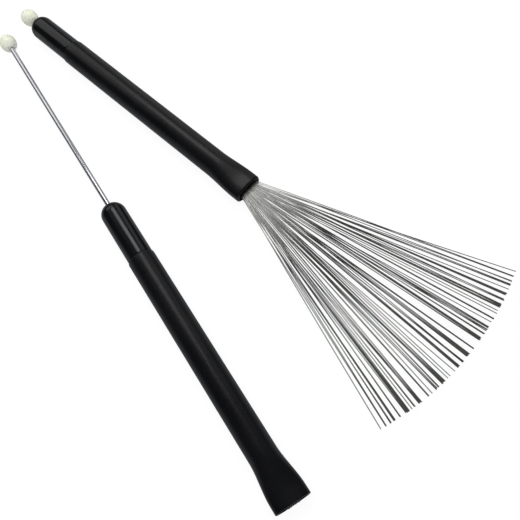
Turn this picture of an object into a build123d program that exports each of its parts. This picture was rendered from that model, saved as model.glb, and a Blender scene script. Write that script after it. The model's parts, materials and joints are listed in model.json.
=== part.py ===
from build123d import *
import os

# A pair of retractable wire drum brushes, lying side by side on a flat surface.
#
# Each brush is first built along +X in its own frame: x = 0 is the tip of the end cap's dome,
# x = HANDLE_LENGTH is the mouth, the wires fan out in the XY plane and Z is up.
# The pair then rests on z = 0, with the origin below the middle of its bounding box.
# Brush 1 has its wires pushed out. Brush 2 has them drawn in, so its pull rod stands out behind.

# ---- driving dimensions, mm and degrees ----
GRIP_D = 15.0
HANDLE_LENGTH = 184.7
CAP_D = 14.1
DOME_LENGTH = 6.9
GRIP_WALL = 1.5
TUBE_WALL = 0.8
MOUTH_GRIP_WALL = 1.3
MOUTH_TUBE_WALL = 0.6
FLARE_LENGTH = 22.5
TUBE_SETBACK = 0.8
ROD_D = 2.8
BEAD_D = 9.9
BEAD_LENGTH = 12.4
BEAD_GAP = 0.2
WIRE_D = 0.34
WIRE_EXPOSED = 141.6
WIRE_FLUSH = 0.5
PIVOT_DEPTH = 14.5
FAN_HALF_ANGLE = 18.65
GROUPS = 12
WIRES_PER_GROUP = 8
GROUP_HALF_SPREAD = 1.0
WIRE_PITCH = 0.38

# ---- fits and small details, mm ----
PLANE_TOLERANCE = 0.001
CUT_OVERRUN = 1.0
STATION_STEP = 1.5
RUN_IN_STATIONS = 8
DOME_WALL = 4.8
DOME_HOLE_GAP = 0.3
SEAM_RADIUS = 0.5
PLUG_LENGTH = 8.0
PLUG_FUNNEL = 1.5
PLUG_FUNNEL_DEPTH = 1.0
RUNNING_GAP = 0.05
CLAMP_GAP = 0.4
CLAMP_LENGTH = 14.0
CLAMP_EDGE = 0.4
PISTON_LENGTH = 6.0
BARREL_R = 3.5
ROD_IN_CLAMP = 5.0
ROD_IN_BEAD = 7.0
POCKET_DEPTH = 7.0
POCKET_MARGIN = 0.1
RING_WIDTH = 1.6
RING_DEPTH = 1.15
RING_SIDE_GAP = 0.05
RING_FROM_REAR = 2.6
ROOT_GAP = 0.1
WIRE_START = 0.8

# ---- worked out from them ----
GRIP_R = GRIP_D / 2
CAP_R = CAP_D / 2
TUBE_R = GRIP_R - GRIP_WALL
BORE_R = TUBE_R - TUBE_WALL
ROD_R = ROD_D / 2
WIRE_R = WIRE_D / 2
CLAMP_R = BORE_R - CLAMP_GAP
RING_R = BORE_R - RUNNING_GAP
GROOVE_R = CLAMP_R - RING_DEPTH
PIVOT_X = HANDLE_LENGTH - PIVOT_DEPTH
CLAMP_REAR = PIVOT_X - CLAMP_LENGTH
RING_X = CLAMP_REAR + RING_FROM_REAR
WIRE_LENGTH = WIRE_EXPOSED + PIVOT_DEPTH
GROUP_STEP = 2 * (FAN_HALF_ANGLE - GROUP_HALF_SPREAD) / (GROUPS - 1)
FULL_TRAVEL = WIRE_EXPOSED - WIRE_FLUSH

# The two mouths are pressed flat by different amounts, cap 1 shows a little less of its length,
# and brush 2 has shorter wires, so that its rod travels less.
BRUSHES = {
    "brush_1": {"mouth": (16.8, 10.0), "lip": 1.0, "cap_length": 36.6, "wire_trim": 0.0,
                "drawn_in": False, "place": (0.0, 0.0), "turn": 0.0},
    "brush_2": {"mouth": (18.3, 9.8), "lip": 0.35, "cap_length": 38.5, "wire_trim": 9.7,
                "drawn_in": True, "place": (131.25, -56.25), "turn": -14.6},
}


def bar(radius, start, end, y=0.0, z=0.0):
    """A round bar along X."""
    return Solid.make_cylinder(radius, end - start, Plane(origin=(start, y, z), z_dir=(1, 0, 0)))


def turned(profile):
    """A shape turned about X from a profile whose x runs along the axis and y is the radius."""
    return revolve(Plane.XZ * make_face(profile), axis=Axis.X)


def flared_bar(radius, mouth_width, mouth_height, start):
    """A round bar from start that widens smoothly into an oval as it nears the mouth."""
    count = RUN_IN_STATIONS + round(FLARE_LENGTH / STATION_STEP)
    run_in = HANDLE_LENGTH - count * STATION_STEP
    sections = []
    for station in range(count + 1):
        x = run_in + station * STATION_STEP
        s = max(0.0, 1 - (HANDLE_LENGTH - x) / FLARE_LENGTH)
        blend = s * s * (3 - 2 * s)
        wide = radius + (mouth_width / 2 - radius) * blend
        high = radius + (mouth_height / 2 - radius) * blend
        plane = Plane(origin=(x, 0, 0), x_dir=(0, 1, 0), z_dir=(1, 0, 0))
        sections.append(plane * Ellipse(wide, high))
    return bar(radius, start, run_in) + loft(sections)


def end_edges(shape, x):
    """The edges of a shape that lie wholly in the plane at x, longest last."""
    edges = [e for e in shape.edges() if abs(e.bounding_box().min.X - x) < PLANE_TOLERANCE
             and abs(e.bounding_box().max.X - x) < PLANE_TOLERANCE]
    return sorted(edges, key=lambda e: e.length)


def tube_outside(spec, start):
    width, height = (size - 2 * MOUTH_GRIP_WALL for size in spec["mouth"])
    return flared_bar(TUBE_R, width, height, start)


def tube_inside(spec, start):
    walls = 2 * (MOUTH_GRIP_WALL + MOUTH_TUBE_WALL)
    width, height = (size - walls for size in spec["mouth"])
    return flared_bar(BORE_R, width, height, start)


def grip_sleeve(spec):
    """The rubber sleeve, from the cap's edge to the flared mouth."""
    rear = spec["cap_length"]
    sleeve = flared_bar(GRIP_R, *spec["mouth"], rear) - tube_outside(spec, rear)
    sleeve = fillet(end_edges(sleeve, HANDLE_LENGTH)[-1], spec["lip"])
    return fillet(end_edges(sleeve, rear)[-1], SEAM_RADIUS)


def handle_tube(spec):
    """The aluminium tube inside, from the cap's dome to just short of the mouth."""
    tube = tube_outside(spec, DOME_WALL) - tube_inside(spec, DOME_WALL)
    cut = Pos(HANDLE_LENGTH - TUBE_SETBACK + GRIP_D, 0, 0) * Box(2 * GRIP_D, 2 * GRIP_D, 2 * GRIP_D)
    return tube - cut


def end_cap(spec):
    """The vinyl cap over the rear of the tube, with a domed end that the rod passes through."""
    front = spec["cap_length"]
    corners = [(DOME_LENGTH, CAP_R), (front, CAP_R), (front, TUBE_R),
               (DOME_WALL, TUBE_R), (DOME_WALL, 0), (0, 0)]
    dome = EllipticalCenterArc((DOME_LENGTH, 0), DOME_LENGTH, CAP_R, 90, arc_size=90)
    cap = turned(Polyline(*corners) + dome)
    return cap - bar(ROD_R + DOME_HOLE_GAP, -CUT_OVERRUN, DOME_WALL + CUT_OVERRUN)


def guide_plug():
    """The nylon plug in the rear of the tube that the pull rod runs through."""
    rear = DOME_WALL
    front = DOME_WALL + PLUG_LENGTH
    bore = ROD_R + RUNNING_GAP
    corners = [(rear, bore), (rear, BORE_R), (front, BORE_R), (front, bore + PLUG_FUNNEL),
               (front - PLUG_FUNNEL_DEPTH, bore), (rear, bore)]
    return turned(Polyline(*corners))


def pull_rod():
    """The steel rod from the bead to the clamp, with the wires out."""
    return bar(ROD_R, -BEAD_GAP - ROD_IN_BEAD, CLAMP_REAR + ROD_IN_CLAMP)


def pull_bead():
    """The bead on the end of the pull rod, longer than it is wide, with a blind hole."""
    outline = EllipticalCenterArc((0, 0), BEAD_LENGTH / 2, BEAD_D / 2, 0, arc_size=180)
    closing = Line((-BEAD_LENGTH / 2, 0), (BEAD_LENGTH / 2, 0))
    bead = Pos(-BEAD_GAP - BEAD_LENGTH / 2, 0, 0) * turned(outline + closing)
    return bead - pull_rod()


def wire_clamp():
    """The brass ferrule that slides in the tube: a piston on the rod, and a barrel on the wires."""
    body = bar(CLAMP_R, CLAMP_REAR, CLAMP_REAR + PISTON_LENGTH) + bar(BARREL_R, CLAMP_REAR, PIVOT_X)
    rims = [end_edges(body, x)[-1] for x in (CLAMP_REAR, CLAMP_REAR + PISTON_LENGTH, PIVOT_X)]
    body = chamfer(rims, CLAMP_EDGE)
    body -= bar(ROD_R, CLAMP_REAR, CLAMP_REAR + ROD_IN_CLAMP)
    wide = (WIRES_PER_GROUP - 1) * WIRE_PITCH + WIRE_D + 2 * POCKET_MARGIN
    high = (GROUPS - 1) * WIRE_PITCH + WIRE_D + 2 * POCKET_MARGIN
    body -= Pos(PIVOT_X - POCKET_DEPTH / 2, 0, 0) * Box(POCKET_DEPTH, wide, high)
    groove = bar(BORE_R, RING_X - RING_SIDE_GAP, RING_X + RING_WIDTH + RING_SIDE_GAP)
    return body - (groove - bar(GROOVE_R, CLAMP_REAR, PIVOT_X))


def slide_ring():
    """The rubber ring in the clamp's groove, which rubs in the tube and holds the rod's place."""
    ring = bar(RING_R, RING_X, RING_X + RING_WIDTH) - bar(GROOVE_R, RING_X, RING_X + RING_WIDTH)
    rims = [end_edges(ring, x)[-1] for x in (RING_X, RING_X + RING_WIDTH)]
    return fillet(rims, RING_WIDTH / 4)


def wire_y(wire):
    return (wire - (WIRES_PER_GROUP - 1) / 2) * WIRE_PITCH


def group_angle(group):
    """The direction of a group's middle in the open fan, in degrees from the brush's axis."""
    return FAN_HALF_ANGLE - GROUP_HALF_SPREAD - group * GROUP_STEP


def group_z(group):
    """Each group has its own layer, with the outermost groups nearest the middle plane."""
    if group < GROUPS / 2:
        return WIRE_PITCH * (group + 0.5)
    return -WIRE_PITCH * (GROUPS - group - 0.5)


def wire_roots():
    """The straight ends of the wires, held in the clamp."""
    rear = PIVOT_X - POCKET_DEPTH
    front = PIVOT_X - ROOT_GAP
    return Compound([bar(WIRE_R, rear, front, wire_y(wire), group_z(group))
                     for group in range(GROUPS) for wire in range(WIRES_PER_GROUP)])


def wire_group(spec, group, turn):
    """One group of wires, turned about the clamp's front by an angle in the fan's plane."""
    half = (WIRES_PER_GROUP - 1) / 2
    length = WIRE_LENGTH - spec["wire_trim"]
    wires = []
    for wire in range(WIRES_PER_GROUP):
        spread = GROUP_HALF_SPREAD * (wire - half) / half
        wires.append(Pos(0, wire_y(wire), 0) * Rot(0, 0, spread) * bar(WIRE_R, WIRE_START, length))
    return Pos(PIVOT_X, 0, group_z(group)) * Rot(0, 0, turn) * Compound(wires)


def slide_travel(spec):
    """How far the pull rod moves between its two stops."""
    return FULL_TRAVEL - spec["wire_trim"]


def rest_shift(spec):
    """How far back from their pushed-out place the sliding pieces rest."""
    return slide_travel(spec) if spec["drawn_in"] else 0.0


def brush(name, spec):
    """Every piece of one brush in its own frame, by node name."""
    fixed = {"grip_sleeve": grip_sleeve(spec), "handle_tube": handle_tube(spec),
             "end_cap": end_cap(spec), "guide_plug": guide_plug()}
    sliding = {"pull_rod": pull_rod(), "pull_bead": pull_bead(),
               "wire_clamp": wire_clamp(), "slide_ring": slide_ring(), "wire_roots": wire_roots()}
    for group in range(GROUPS):
        turn = 0.0 if spec["drawn_in"] else group_angle(group)
        sliding[f"wires_{group + 1:02d}"] = wire_group(spec, group, turn)
    back = Pos(-rest_shift(spec), 0, 0)
    pieces = fixed | {piece: back * shape for piece, shape in sliding.items()}
    place = Pos(*spec["place"], GRIP_R) * Rot(0, 0, spec["turn"])
    return {f"{name}_{piece}": place * shape for piece, shape in pieces.items()}


def pair():
    """All the nodes, and the shift that puts the origin below the middle of the pair."""
    nodes = {}
    for name, spec in BRUSHES.items():
        nodes |= brush(name, spec)
    box = Compound(list(nodes.values())).bounding_box()
    shift = (-box.center().X, -box.center().Y, -box.min.Z)
    return {node: Pos(*shift) * shape for node, shape in nodes.items()}, shift


NODES, SHIFT = pair()
os.makedirs("parts", exist_ok=True)
for node, shape in NODES.items():
    export_step(shape, f"parts/{node}.step")
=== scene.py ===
import bmesh
import bpy
import json
import random
from math import atan2, copysign, cos, hypot, pi, radians, sin
from mathutils import Matrix, Vector


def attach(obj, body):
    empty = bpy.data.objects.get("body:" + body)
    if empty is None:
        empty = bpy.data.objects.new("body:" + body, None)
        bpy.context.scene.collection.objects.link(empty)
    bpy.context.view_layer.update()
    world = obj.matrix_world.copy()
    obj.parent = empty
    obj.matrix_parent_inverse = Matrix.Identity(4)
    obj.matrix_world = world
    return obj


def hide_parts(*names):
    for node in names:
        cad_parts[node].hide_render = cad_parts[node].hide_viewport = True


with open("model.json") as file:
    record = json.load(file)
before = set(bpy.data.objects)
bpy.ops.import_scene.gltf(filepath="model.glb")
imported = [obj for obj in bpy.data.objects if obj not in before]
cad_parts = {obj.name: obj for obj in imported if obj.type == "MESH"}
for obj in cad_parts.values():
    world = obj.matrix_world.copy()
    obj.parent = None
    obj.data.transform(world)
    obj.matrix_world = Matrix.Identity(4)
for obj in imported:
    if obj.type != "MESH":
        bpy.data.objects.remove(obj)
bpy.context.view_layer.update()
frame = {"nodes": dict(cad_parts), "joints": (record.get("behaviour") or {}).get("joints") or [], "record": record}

# The looks of a pair of retractable wire drum brushes.
#
# Each brush is built in its own frame, in metres: x = 0 is the tip of the end cap's dome, x grows
# towards the mouth, the wires fan out in the XY plane and Z is up. Brush.place puts it in the row
# frame. The main lengths are measured from the CAD nodes.

MM = 0.001

# ---- shape details of the handles that the CAD nodes don't give directly ----
FLARE_LENGTH = 26.0 * MM
FLARE_LAND = 4.5 * MM
BORE_FLARE_LENGTH = 22.5 * MM
GRIP_WALL = 1.5 * MM
MOUTH_WALL = 1.3 * MM
LIP_RADIUS = {"brush_1": 1.0 * MM, "brush_2": 0.35 * MM}
INNER_EDGE = 0.25 * MM
SEAM_RADIUS = 0.5 * MM
MOUTH_ZONE = 2.0 * MM
MOUTH_POWER = {"brush_1": 2.8, "brush_2": 2.6}
MOUTH_STRETCH = {"brush_1": 0.2 * MM, "brush_2": 0.35 * MM}
CAP_WALL = 1.0 * MM
DOME_LENGTH = 6.9 * MM
DOME_WALL = 4.8 * MM
DOME_HOLE_GAP = 0.3 * MM
CAP_EDGE = 0.25 * MM
ROD_EDGE = 0.2 * MM
BEAD_HOLE_GAP = 0.02 * MM
BEAD_RIM_DEPTH = 0.1 * MM

# Rims where the dome and the bead meet their holes. The radii are in radii of the hole, and the
# dome's depth is a share of where its surface starts. BEAD_POLE keeps the bead's first and last
# ring from shrinking to a point.
DOME_RIM_START = 1.1
DOME_RIM_RADIUS = 1.06
DOME_RIM_DEPTH = 0.7
BEAD_RIM_START = 1.08
BEAD_POLE = 0.02

# ---- how finely the round shapes are divided ----
AROUND = 96
AROUND_ROD = 48
AROUND_WIRE = 8
ARC_STEPS = 6
EDGE_STEPS = 3
DOME_STEPS = 16
BEAD_STEPS = 40
FLARE_STEPS = 28
STRAIGHT_STEPS = 30
WIRE_STEPS = 10

# The angle in degrees from which an edge is drawn sharp.
SHARP_ANGLE = 40

# ---- the wires ----
TUFTS = 12
WIRE_RADIUS = 0.225 * MM

# Where the 8 wires of a tuft stand at their tips, in places TIP_PITCH apart. An "o" is a wire and
# a "." is an empty place. Wires side by side touch, because they are thicker than a place is wide.
# The tufts inside the fan take these in turn, and the two outermost have one of their own.
BUNCHES = (
    "o...oo.....ooooo......",
    "..oooooo.......oo.....",
    "ooo.....oooo.....o....",
    "....oooooo....o...o...",
    "oo.ooo......o....oo...",
)
EDGE_BUNCHES = "o......oo.....oo...ooo"
TIP_PITCH = 0.38 * MM
TIP_SCATTER = 0.05 * MM
TIP_SHORT = 0.5 * MM
WIRE_BOW = 0.45 * MM
WIRE_START = 0.8 * MM
ROOT_HALF_WIDTH = 0.3 * MM
ROOT_SPREAD = 0.3 * MM
ROOT_STACK = 0.28 * MM
STACK_SHIFT = 0.25
WIRE_SEED = 7

# A wire has painted shade at its root, where it lies inside the grip. Past that it is bright, and painted shade
# makes it darker and darker until a share of its length, where its tone is a share of the steel's; both shares are
# set below.
WIRE_ROOT_SHADE = 0.04
ROOT_LENGTH = 14.0 * MM
ROOT_FADE = 3.5 * MM
WIRE_TIP_SHADE = 0.10
TIP_SHADE_SHARE = 0.42


class Brush:
    """One brush: its name, its place in the row frame, and its CAD nodes' measures along its axis."""

    def __init__(self, name):
        self.name = name
        mount = next(m for m in frame["record"]["mounts"] if m["name"] == f"{name}_grip")
        forward = -Vector(mount["axis"])
        left = Vector((0, 0, 1)).cross(forward)
        turn = Matrix((forward, left, Vector((0, 0, 1)))).transposed().to_4x4()
        self.turn = atan2(forward.y, forward.x)
        self.place = Matrix.Translation(mount["pos_m"]) @ turn
        tip = min(p.x for p in self.points("end_cap"))
        self.place = self.place @ Matrix.Translation((tip, 0, 0))
        self.length = self.span("grip_sleeve")[1].x
        self.cap_length = self.span("end_cap")[1].x
        self.grip_radius = max(hypot(p.y, p.z) for p in self.points("grip_sleeve")
                               if p.x < self.length / 2)
        self.cap_radius = max(hypot(p.y, p.z) for p in self.points("end_cap"))
        mouth = [p for p in self.points("grip_sleeve") if p.x > self.length - MOUTH_ZONE]
        self.mouth = (max(p.y for p in mouth), max(p.z for p in mouth))
        self.rod = self.span("pull_rod")
        self.bead = self.span("pull_bead")

    def points(self, node):
        """A CAD node's points in the brush's own frame."""
        back = self.place.inverted()
        return [back @ v.co for v in frame["nodes"][f"{self.name}_{node}"].data.vertices]

    def span(self, node):
        """The lowest and highest corner of a CAD node in the brush's own frame."""
        points = self.points(node)
        return (Vector(min(p[k] for p in points) for k in range(3)),
                Vector(max(p[k] for p in points) for k in range(3)))


# ---- mesh helpers ----

def squared(value, power):
    """A cosine or sine pushed outwards, which turns an oval towards a rounded rectangle."""
    return copysign(abs(value) ** (2 / power), value)


def oval(x, wide, high, count=AROUND, power=2.0):
    """A ring of points round the X axis. A power of 2 is an ellipse, and more is squarer."""
    angles = [2 * pi * i / count for i in range(count)]
    return [Vector((x, wide * squared(cos(a), power), high * squared(sin(a), power)))
            for a in angles]


def circles(profile, count=AROUND):
    """Rings for a round shape from its profile of (x, radius)."""
    return [oval(x, radius, radius, count) for x, radius in profile]


def arc(centre, radius, start, end, steps=ARC_STEPS):
    """Points of an arc, as (x, y), with its angles in degrees. The radius may be a pair."""
    rx, ry = radius if isinstance(radius, tuple) else (radius, radius)
    angles = [radians(start + (end - start) * i / steps) for i in range(steps + 1)]
    return [(centre[0] + rx * cos(a), centre[1] + ry * sin(a)) for a in angles]


def skin_rings(mesh, rings, closed):
    """Adds a skin through rings of points. A closed one joins its last ring to its first."""
    rows = [[mesh.verts.new(p) for p in ring] for ring in rings]
    count = len(rows[0])
    pairs = list(zip(rows, rows[1:]))
    if closed:
        pairs.append((rows[-1], rows[0]))
    for a, b in pairs:
        for i in range(count):
            j = (i + 1) % count
            mesh.faces.new((a[i], a[j], b[j], b[i]))
    if not closed:
        mesh.faces.new(list(reversed(rows[0])))
        mesh.faces.new(rows[-1])


def piece(brush, name, loops, closed=False):
    """A mesh object in the row frame from one or more lists of rings in the brush's frame."""
    mesh = bmesh.new()
    for rings in loops:
        skin_rings(mesh, rings, closed)
    mesh.transform(brush.place)
    bmesh.ops.recalc_face_normals(mesh, faces=mesh.faces)
    data = bpy.data.meshes.new(f"{brush.name}_{name}")
    mesh.to_mesh(data)
    mesh.free()
    data.shade_smooth()
    data.set_sharp_from_angle(angle=radians(SHARP_ANGLE))
    made = bpy.data.objects.new(f"{brush.name}_{name}", data)
    bpy.context.scene.collection.objects.link(made)
    return made


def finish_piece(made, body, nodes, material):
    """Rides a piece on its body, gives it its material, and hides the CAD nodes that it stands for."""
    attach(made, body)
    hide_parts(*nodes)
    made.data.materials.append(material)


# ---- pieces ----

def grip_ring(brush, x, inset):
    """The grip's ring at x, less an inset. It is round, then wider, flatter and squarer.

    The outside flares a little sooner and wider than the bore, which follows the tube. An inset
    beyond the lip's radius belongs to the bore.
    """
    to_mouth = brush.length - x
    bore = inset > LIP_RADIUS[brush.name]
    if bore:
        share = 1 - to_mouth / BORE_FLARE_LENGTH
    else:
        share = (FLARE_LENGTH - to_mouth) / (FLARE_LENGTH - FLARE_LAND)
    share = min(max(share, 0.0), 1.0)
    blend = share * share * (3 - 2 * share)
    wide, high = [brush.grip_radius + (half - brush.grip_radius) * blend - inset
                  for half in brush.mouth]
    if not bore:
        wide += MOUTH_STRETCH[brush.name] * blend
    return oval(x, wide, high, power=2 + (MOUTH_POWER[brush.name] - 2) * blend)


def grip_skin(brush):
    """The rubber sleeve: outside, rounded lip, end face, and the bore that holds the tube."""
    lip = LIP_RADIUS[brush.name]
    rear = brush.cap_length
    flare = brush.length - FLARE_LENGTH
    front = brush.length - lip
    outline = [(x, SEAM_RADIUS - (r - brush.grip_radius + SEAM_RADIUS))
               for x, r in arc((rear + SEAM_RADIUS, brush.grip_radius - SEAM_RADIUS),
                               SEAM_RADIUS, 180, 90)]
    outline += [(rear + SEAM_RADIUS + (flare - rear - SEAM_RADIUS) * i / STRAIGHT_STEPS, 0.0)
                for i in range(1, STRAIGHT_STEPS)]
    outline += [(flare + (front - flare) * i / FLARE_STEPS, 0.0) for i in range(FLARE_STEPS)]
    outline += [(x, lip - y) for x, y in arc((front, 0.0), lip, 90, 0)]
    inner = MOUTH_WALL - INNER_EDGE
    outline += [(brush.length, inner)]
    outline += [(brush.length - INNER_EDGE + x, inner + INNER_EDGE - y)
                for x, y in arc((0.0, 0.0), INNER_EDGE, 60, 90, 2)]
    outline += [(brush.length - FLARE_LENGTH * i / FLARE_STEPS,
                 MOUTH_WALL + (GRIP_WALL - MOUTH_WALL) * i / FLARE_STEPS)
                for i in range(1, FLARE_STEPS + 1)]
    outline += [(rear, GRIP_WALL)]
    rings = [grip_ring(brush, x, inset) for x, inset in outline]
    return piece(brush, "grip_skin", [rings], closed=True)


def cap_shell(brush):
    """The end cap: a domed end with a hole, a straight side and a softened front edge."""
    hole = brush.rod[1].z + DOME_HOLE_GAP
    front = brush.cap_length
    radius = brush.cap_radius
    dome = arc((DOME_LENGTH, 0.0), (DOME_LENGTH, radius), 180, 90, DOME_STEPS)
    outline = [(x, y) for x, y in dome if y > hole * DOME_RIM_START]
    first_x = outline[0][0]
    outline.insert(0, (first_x * DOME_RIM_DEPTH, hole * DOME_RIM_RADIUS))
    outline.insert(0, (first_x, hole))
    outline += [(DOME_LENGTH + (front - DOME_LENGTH) * i / STRAIGHT_STEPS, radius)
                for i in range(1, STRAIGHT_STEPS)]
    outline += arc((front - CAP_EDGE, radius - CAP_EDGE), CAP_EDGE, 90, 0, EDGE_STEPS)
    outline += [(front, radius - CAP_WALL), (DOME_WALL, radius - CAP_WALL), (DOME_WALL, hole)]
    return piece(brush, "cap_shell", [circles(outline)], closed=True)


def polished_rod(brush):
    """The pull rod, with a small bevel at both ends."""
    rear, front = brush.rod[0].x, brush.rod[1].x
    radius = brush.rod[1].z
    outline = [(rear, radius - ROD_EDGE), (rear + ROD_EDGE, radius)]
    outline += [(front - ROD_EDGE, radius), (front, radius - ROD_EDGE)]
    return piece(brush, "polished_rod", [circles(outline, AROUND_ROD)])


def ivory_bead(brush):
    """The bead, with the blind hole that the rod's end is pressed into."""
    rear, front = brush.bead[0].x, brush.bead[1].x
    middle = (rear + front) / 2
    length = middle - rear
    radius = brush.bead[1].z
    hole = brush.rod[1].z + BEAD_HOLE_GAP
    depth = brush.rod[0].x - BEAD_HOLE_GAP
    outline = [p for p in arc((middle, 0.0), (length, radius), 180, 0, BEAD_STEPS)
               if p[1] > hole * BEAD_RIM_START or (p[0] < middle and p[1] > radius * BEAD_POLE)]
    outline += [(outline[-1][0] + BEAD_RIM_DEPTH, hole), (depth, hole), (depth, hole * BEAD_POLE)]
    return piece(brush, "ivory_bead", [circles(outline)])


def tuft_frame(brush, number):
    """A tuft's pivot, its direction in the brush's own plane, and its wires' length."""
    back = brush.place.inverted()
    joint = next(j for j in frame["joints"] if j["name"] == f"{brush.name}_tuft_{number:02d}_swing")
    pivot = back @ Vector(joint["pos_m"])
    away = [p - pivot for p in brush.points(f"wires_{number:02d}")]
    middle = sum(away, Vector()) / len(away)
    length = max(hypot(p.x, p.y) for p in away)
    return pivot, atan2(middle.y, middle.x), length


def wire_rings(start, end, bow):
    """The rings of one wire from start to end, which bows sideways by bow at its middle."""
    along = (end - start).normalized()
    side = Vector((-along.y, along.x, 0)).normalized()
    up = along.cross(side)
    rings = []
    for step in range(WIRE_STEPS + 1):
        share = step / WIRE_STEPS
        centre = start.lerp(end, share) + side * bow * 4 * share * (1 - share)
        rings.append([centre + (side * cos(2 * pi * i / AROUND_WIRE)
                                + up * sin(2 * pi * i / AROUND_WIRE)) * WIRE_RADIUS
                      for i in range(AROUND_WIRE)])
    return rings


def wire_bundle(brush, number, chance):
    """The 8 wires of one tuft, stacked in the clamp and in uneven bunches at their tips.

    Neighbouring tufts' stacks stand half a level apart.
    """
    pivot, angle, length = tuft_frame(brush, number)
    pattern = EDGE_BUNCHES if number in (1, TUFTS) else BUNCHES[number % len(BUNCHES)]
    if number % 2:
        pattern = pattern[::-1]
    slots = [i - (len(pattern) - 1) / 2 for i, mark in enumerate(pattern) if mark == "o"]
    stack = list(range(len(slots)))
    chance.shuffle(stack)
    root_y = ROOT_HALF_WIDTH * (TUFTS + 1 - 2 * number) / (TUFTS - 1)
    shift = STACK_SHIFT if number % 2 else -STACK_SHIFT
    turn = Matrix.Translation(pivot) @ Matrix.Rotation(angle, 4, "Z")
    loops = []
    for level, slot in zip(stack, slots):
        rank = level - (len(slots) - 1) / 2
        root_z = (rank + shift) * ROOT_STACK - pivot.z
        tip_y = slot * TIP_PITCH + chance.uniform(-TIP_SCATTER, TIP_SCATTER)
        tip_x = length - chance.uniform(0, TIP_SHORT)
        start = turn @ Vector((WIRE_START, root_y + rank * ROOT_SPREAD, root_z))
        end = turn @ Vector((tip_x, tip_y, 0))
        loops.append(wire_rings(start, end, chance.uniform(-WIRE_BOW, WIRE_BOW)))
    return piece(brush, f"wire_bundle_{number:02d}", loops)


# ---- materials ----

class Recipe:
    """A material whose nodes are added one by one, with a Principled shader as its end."""

    def __init__(self, name, turn=0.0):
        self.material = bpy.data.materials.new(name)
        self.material.use_nodes = True
        self.nodes = self.material.node_tree.nodes
        self.links = self.material.node_tree.links
        self.shader = self.nodes["Principled BSDF"]
        self.coordinates = self.add("ShaderNodeTexCoord").outputs["Object"]
        if turn:
            turned = self.add("ShaderNodeVectorRotate", self.coordinates)
            turned.rotation_type = "Z_AXIS"
            turned.inputs["Angle"].default_value = -turn
            self.coordinates = turned.outputs["Vector"]

    def add(self, kind, *sources, **values):
        """A node of a kind, with sources linked to its first inputs and values set by name."""
        node = self.nodes.new(kind)
        for socket, source in zip(node.inputs, sources):
            self.links.new(source, socket)
        for key, value in values.items():
            node.inputs[key.replace("_", " ")].default_value = value
        return node

    def noise(self, scale, stretch=(1, 1, 1), detail=3.0):
        """Noise with scale features to the metre, stretched along the brush's axes."""
        mapping = self.add("ShaderNodeMapping", self.coordinates)
        mapping.inputs["Scale"].default_value = stretch
        return self.add("ShaderNodeTexNoise", mapping.outputs["Vector"], Scale=scale,
                        Detail=detail).outputs["Fac"]

    def ramp(self, source, low, high, start=0.35, end=0.65):
        """A source from start to end, mapped to a number or a colour from low to high."""
        if isinstance(low, tuple):
            node = self.nodes.new("ShaderNodeValToRGB")
            node.color_ramp.elements[0].position = start
            node.color_ramp.elements[0].color = (*low, 1)
            node.color_ramp.elements[1].position = end
            node.color_ramp.elements[1].color = (*high, 1)
            self.links.new(source, node.inputs["Fac"])
            return node.outputs["Color"]
        node = self.add("ShaderNodeMapRange", source)
        for key, value in (("From Min", start), ("From Max", end), ("To Min", low), ("To Max", high)):
            node.inputs[key].default_value = value
        return node.outputs["Result"]

    def bumps(self, *layers):
        """Chained bumps from (height source, depth in metres)."""
        normal = None
        for source, depth in layers:
            node = self.nodes.new("ShaderNodeBump")
            node.inputs["Distance"].default_value = depth
            self.links.new(source, node.inputs["Height"])
            if normal is not None:
                self.links.new(normal, node.inputs["Normal"])
            normal = node.outputs["Normal"]
        self.links.new(normal, self.shader.inputs["Normal"])

    def drive(self, key, source):
        """Links a source to one of the shader's inputs."""
        self.links.new(source, self.shader.inputs[key])

    def set(self, **values):
        """Sets the shader's inputs by name."""
        for key, value in values.items():
            self.shader.inputs[key.replace("_", " ")].default_value = value


def grip_rubber(turn):
    """Satin black rubber with a fine grain, soft undulations, and slightly polished patches."""
    r = Recipe("grip_rubber", turn)
    worn = r.noise(38, (0.5, 1, 1), detail=4)
    grain = r.noise(5200, detail=2)
    waves = r.noise(60, (0.35, 1, 1), detail=1)
    r.drive("Base Color", r.ramp(worn, (0.0022, 0.0023, 0.0030), (0.0042, 0.0043, 0.0052)))
    r.drive("Roughness", r.ramp(worn, 0.29, 0.37))
    r.bumps((waves, 0.06 * MM), (grain, 0.012 * MM))
    r.set(IOR=1.48, Specular_IOR_Level=0.42)
    return r.material


def cap_vinyl(turn):
    """Glossier black vinyl with a faint orange peel."""
    r = Recipe("cap_vinyl", turn)
    peel = r.noise(900, (0.4, 1, 1), detail=2)
    waves = r.noise(110, (0.3, 1, 1), detail=1)
    smears = r.noise(70, (0.4, 1, 1), detail=5)
    r.drive("Base Color", r.ramp(smears, (0.0018, 0.0020, 0.0028), (0.0035, 0.0038, 0.0048)))
    r.drive("Roughness", r.ramp(smears, 0.17, 0.25))
    r.bumps((waves, 0.08 * MM), (peel, 0.008 * MM))
    r.set(IOR=1.5)
    return r.material


def rod_chrome(turn):
    """Bright polished steel with fine scratches along the rod."""
    r = Recipe("rod_chrome", turn)
    scratches = r.noise(2600, (0.02, 1, 1), detail=3)
    haze = r.noise(160, (0.25, 1, 1), detail=3)
    r.drive("Base Color", r.ramp(haze, (0.74, 0.75, 0.78), (0.86, 0.87, 0.90)))
    r.drive("Roughness", r.ramp(scratches, 0.07, 0.15))
    r.bumps((scratches, 0.002 * MM))
    r.set(Metallic=1.0)
    return r.material


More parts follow.
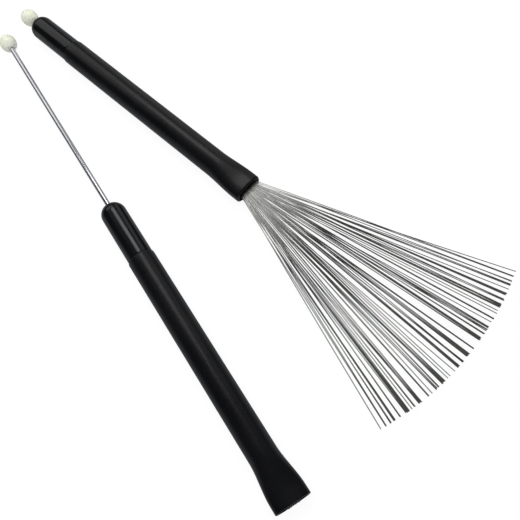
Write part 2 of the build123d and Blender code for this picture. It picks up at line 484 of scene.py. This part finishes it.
def wire_steel(turn, near, far):
    """Spring steel wire, each one of its own tone, with painted shade at its root and painted shade that deepens
    towards its tips, from near to far along the brush's turned X.
    """
    r = Recipe("wire_steel", turn)
    tone = r.add("ShaderNodeNewGeometry").outputs["Random Per Island"]
    grime = r.noise(120, (0.5, 1, 1), detail=3)
    along = r.add("ShaderNodeSeparateXYZ", r.coordinates).outputs["X"]
    steel = r.ramp(tone, (0.72, 0.73, 0.69), (0.99, 1.00, 0.96), 0.0, 1.0)
    # Painted shade: the steel's colour darkens from the root towards the tips, standing in for the dimmer
    # reflections there.
    tip_shade = r.ramp(along, 1.0, WIRE_TIP_SHADE, near, near + TIP_SHADE_SHARE * (far - near))
    # Painted shade: the steel is darkened at its root, over the stretch that lies in the shade inside the grip's
    # mouth.
    root_shade = r.ramp(along, WIRE_ROOT_SHADE, 1.0, near + ROOT_LENGTH, near + ROOT_LENGTH + ROOT_FADE)
    shade = r.add("ShaderNodeMath", tip_shade, root_shade)
    shade.operation = "MULTIPLY"
    tint = r.add("ShaderNodeVectorMath", steel, shade.outputs["Value"])
    tint.operation = "MULTIPLY"
    r.drive("Base Color", tint.outputs["Vector"])
    r.drive("Roughness", r.ramp(grime, 0.34, 0.46))
    r.set(Metallic=0.35)
    return r.material


def bead_ivory(turn):
    """Translucent ivory plastic with a faint cloudiness."""
    r = Recipe("bead_ivory", turn)
    cloud = r.noise(260, detail=3)
    r.drive("Base Color", r.ramp(cloud, (0.79, 0.81, 0.69), (0.82, 0.84, 0.73)))
    r.drive("Roughness", r.ramp(cloud, 0.20, 0.30))
    r.bumps((r.noise(1400, detail=2), 0.002 * MM))
    r.set(IOR=1.4, Subsurface_Weight=1.0, Subsurface_Scale=3.0 * MM)
    r.shader.inputs["Subsurface Radius"].default_value = (1.0, 0.95, 0.7)
    return r.material


def tube_aluminium(turn):
    """Drawn aluminium, anodised black and faintly lined along its length."""
    r = Recipe("tube_aluminium", turn)
    lines = r.noise(3000, (0.02, 1, 1))
    r.drive("Base Color", r.ramp(lines, (0.012, 0.012, 0.014), (0.022, 0.022, 0.025)))
    r.drive("Roughness", r.ramp(lines, 0.42, 0.55))
    r.set(Metallic=0.4)
    return r.material


def clamp_brass(turn):
    """Turned brass, a little dull."""
    r = Recipe("clamp_brass", turn)
    rings = r.noise(2400, (1, 0.05, 0.05))
    r.drive("Base Color", r.ramp(rings, (0.50, 0.36, 0.15), (0.66, 0.49, 0.22)))
    r.drive("Roughness", r.ramp(rings, 0.25, 0.4))
    r.set(Metallic=1.0)
    return r.material


def plug_nylon(turn):
    """Natural white nylon."""
    r = Recipe("plug_nylon", turn)
    cloud = r.noise(300)
    r.drive("Base Color", r.ramp(cloud, (0.72, 0.71, 0.66), (0.80, 0.79, 0.74)))
    r.drive("Roughness", r.ramp(cloud, 0.4, 0.5))
    r.set(Subsurface_Weight=0.3, Subsurface_Scale=1.0 * MM)
    return r.material


def ring_rubber(turn):
    """Plain black rubber."""
    r = Recipe("ring_rubber", turn)
    grain = r.noise(2500)
    r.drive("Base Color", r.ramp(grain, (0.010, 0.010, 0.010), (0.018, 0.018, 0.018)))
    r.drive("Roughness", r.ramp(grain, 0.6, 0.75))
    return r.material


def floor_white():
    """A matt white sheet of a light table, which glows evenly and so takes only faint shadows."""
    r = Recipe("floor_white")
    tooth = r.noise(400)
    r.drive("Base Color", r.ramp(tooth, (0.09, 0.09, 0.09), (0.10, 0.10, 0.10)))
    r.set(Roughness=0.9, Specular_IOR_Level=0.0, Emission_Strength=0.92)
    r.shader.inputs["Emission Color"].default_value = (1, 1, 1, 1)
    return r.material


# ---- assembly ----

def dress_brush(name):
    """Builds every piece of one brush and gives its hidden CAD nodes their materials."""
    brush = Brush(name)
    handle, slider = f"{name}_handle", f"{name}_slider"
    own_axes = Matrix.Rotation(-brush.turn, 4, "Z") @ brush.place
    wire_x = [(own_axes @ p).x for p in brush.points("wires_01")]
    steel = wire_steel(brush.turn, min(wire_x), max(wire_x))
    plan = [
        (grip_skin, handle, "grip_sleeve", "grip_rubber", grip_rubber),
        (cap_shell, handle, "end_cap", "cap_vinyl", cap_vinyl),
        (polished_rod, slider, "pull_rod", "rod_steel", rod_chrome),
        (ivory_bead, slider, "pull_bead", "bead_plastic", bead_ivory),
    ]
    for build, body, node, slot, material in plan:
        finish_piece(build(brush), body, [f"{name}_{node}"], material(brush.turn))
    chance = random.Random(f"{WIRE_SEED}{name}")
    for number in range(1, TUFTS + 1):
        bundle = wire_bundle(brush, number, chance)
        finish_piece(bundle, f"{name}_tuft_{number:02d}", [f"{name}_wires_{number:02d}"],
                     steel)
    inside = {"handle_tube": tube_aluminium(brush.turn), "guide_plug": plug_nylon(brush.turn),
              "wire_clamp": clamp_brass(brush.turn), "slide_ring": ring_rubber(brush.turn),
              "wire_roots": steel}
    for node, material in inside.items():
        data = frame["nodes"][f"{name}_{node}"].data
        data.materials.clear()
        data.materials.append(material)


# ---- stage ----

FLOOR_SIZE = 6.0
CAMERA_AT = Vector((0.18678, -0.07018, 0.34725))
CAMERA_AIM = Vector((0.06037, 0.00426, 0.00750))
PICTURE_UP = radians(133.100)
LENS = 49.74
SENSOR = 36.0
CLIP_START = 0.005
HORIZON = 0.1
GLOW_BELOW = 0.36
GLOW_ABOVE = 0.03
GLOW_COLOUR = (0.92, 0.95, 1.0, 1.0)


def make_floor():
    """The floor at z = 0. Glossy surfaces don't mirror it, so the undersides stay dark."""
    mesh = bmesh.new()
    half = FLOOR_SIZE / 2
    corners = [(-half, -half), (half, -half), (half, half), (-half, half)]
    mesh.faces.new([mesh.verts.new((x, y, 0)) for x, y in corners])
    data = bpy.data.meshes.new("floor")
    mesh.to_mesh(data)
    mesh.free()
    floor = bpy.data.objects.new("floor", data)
    bpy.context.scene.collection.objects.link(floor)
    data.materials.append(floor_white())
    floor.visible_glossy = False


def aim(thing, at, target, up):
    """Puts a camera or light at a point and turns it to a target."""
    back = (at - target).normalized()
    right = up.cross(back).normalized()
    turn = Matrix((right, back.cross(right), back)).transposed()
    thing.matrix_world = Matrix.Translation(at) @ turn.to_4x4()


def make_camera():
    """The camera, which looks steeply down on the brushes."""
    data = bpy.data.cameras.new("camera")
    data.lens = LENS
    data.sensor_width = SENSOR
    data.clip_start = CLIP_START
    camera = bpy.data.objects.new("camera", data)
    bpy.context.scene.collection.objects.link(camera)
    aim(camera, CAMERA_AT, CAMERA_AIM, Vector((cos(PICTURE_UP), sin(PICTURE_UP), 0)))
    bpy.context.scene.camera = camera


def softbox(name, at, target, size, radiance, mirrored=True):
    """A rectangular area light of even radiance. Glossy surfaces mirror it only if asked to."""
    data = bpy.data.lights.new(name, "AREA")
    data.shape = "RECTANGLE"
    data.size, data.size_y = size
    data.energy = radiance * pi * size[0] * size[1]
    light = bpy.data.objects.new(name, data)
    bpy.context.scene.collection.objects.link(light)
    light.visible_glossy = mirrored
    aim(light, Vector(at), Vector(target), Vector((0, 1, 0)))


def make_light():
    """A softbox beyond the far side, two broad dim panels, and a fill that nothing glossy mirrors.

    The surroundings are grey below the horizon and nearly black above it.
    """
    softbox("core", (-0.34, 0.29, 0.76), (0.0, 0.0, 0.0), (0.34, 0.34), 3.2)
    softbox("rear_panel", (-0.85, 0.15, 0.62), (-0.05, 0.0, 0.0), (0.55, 0.95), 0.9)
    softbox("side_panel", (-0.35, 0.85, 0.42), (0.0, 0.0, 0.0), (1.10, 0.40), 0.55)
    softbox("fill", (0.0, 0.0, 1.2), (0.0, 0.0, 0.0), (1.5, 1.5), 2.4, mirrored=False)
    world = bpy.data.worlds.new("surround")
    world.use_nodes = True
    nodes = world.node_tree.nodes
    links = world.node_tree.links
    split = nodes.new("ShaderNodeSeparateXYZ")
    links.new(nodes.new("ShaderNodeTexCoord").outputs["Generated"], split.inputs[0])
    height = nodes.new("ShaderNodeMapRange")
    for key, value in (("From Min", -HORIZON), ("From Max", HORIZON),
                       ("To Min", GLOW_BELOW), ("To Max", GLOW_ABOVE)):
        height.inputs[key].default_value = value
    links.new(split.outputs["Z"], height.inputs["Value"])
    links.new(height.outputs["Result"], nodes["Background"].inputs["Strength"])
    nodes["Background"].inputs["Color"].default_value = GLOW_COLOUR
    bpy.context.scene.world = world
    bpy.context.scene.view_settings.view_transform = "Standard"


for brush_name in ("brush_1", "brush_2"):
    dress_brush(brush_name)
make_floor()
make_camera()
make_light()
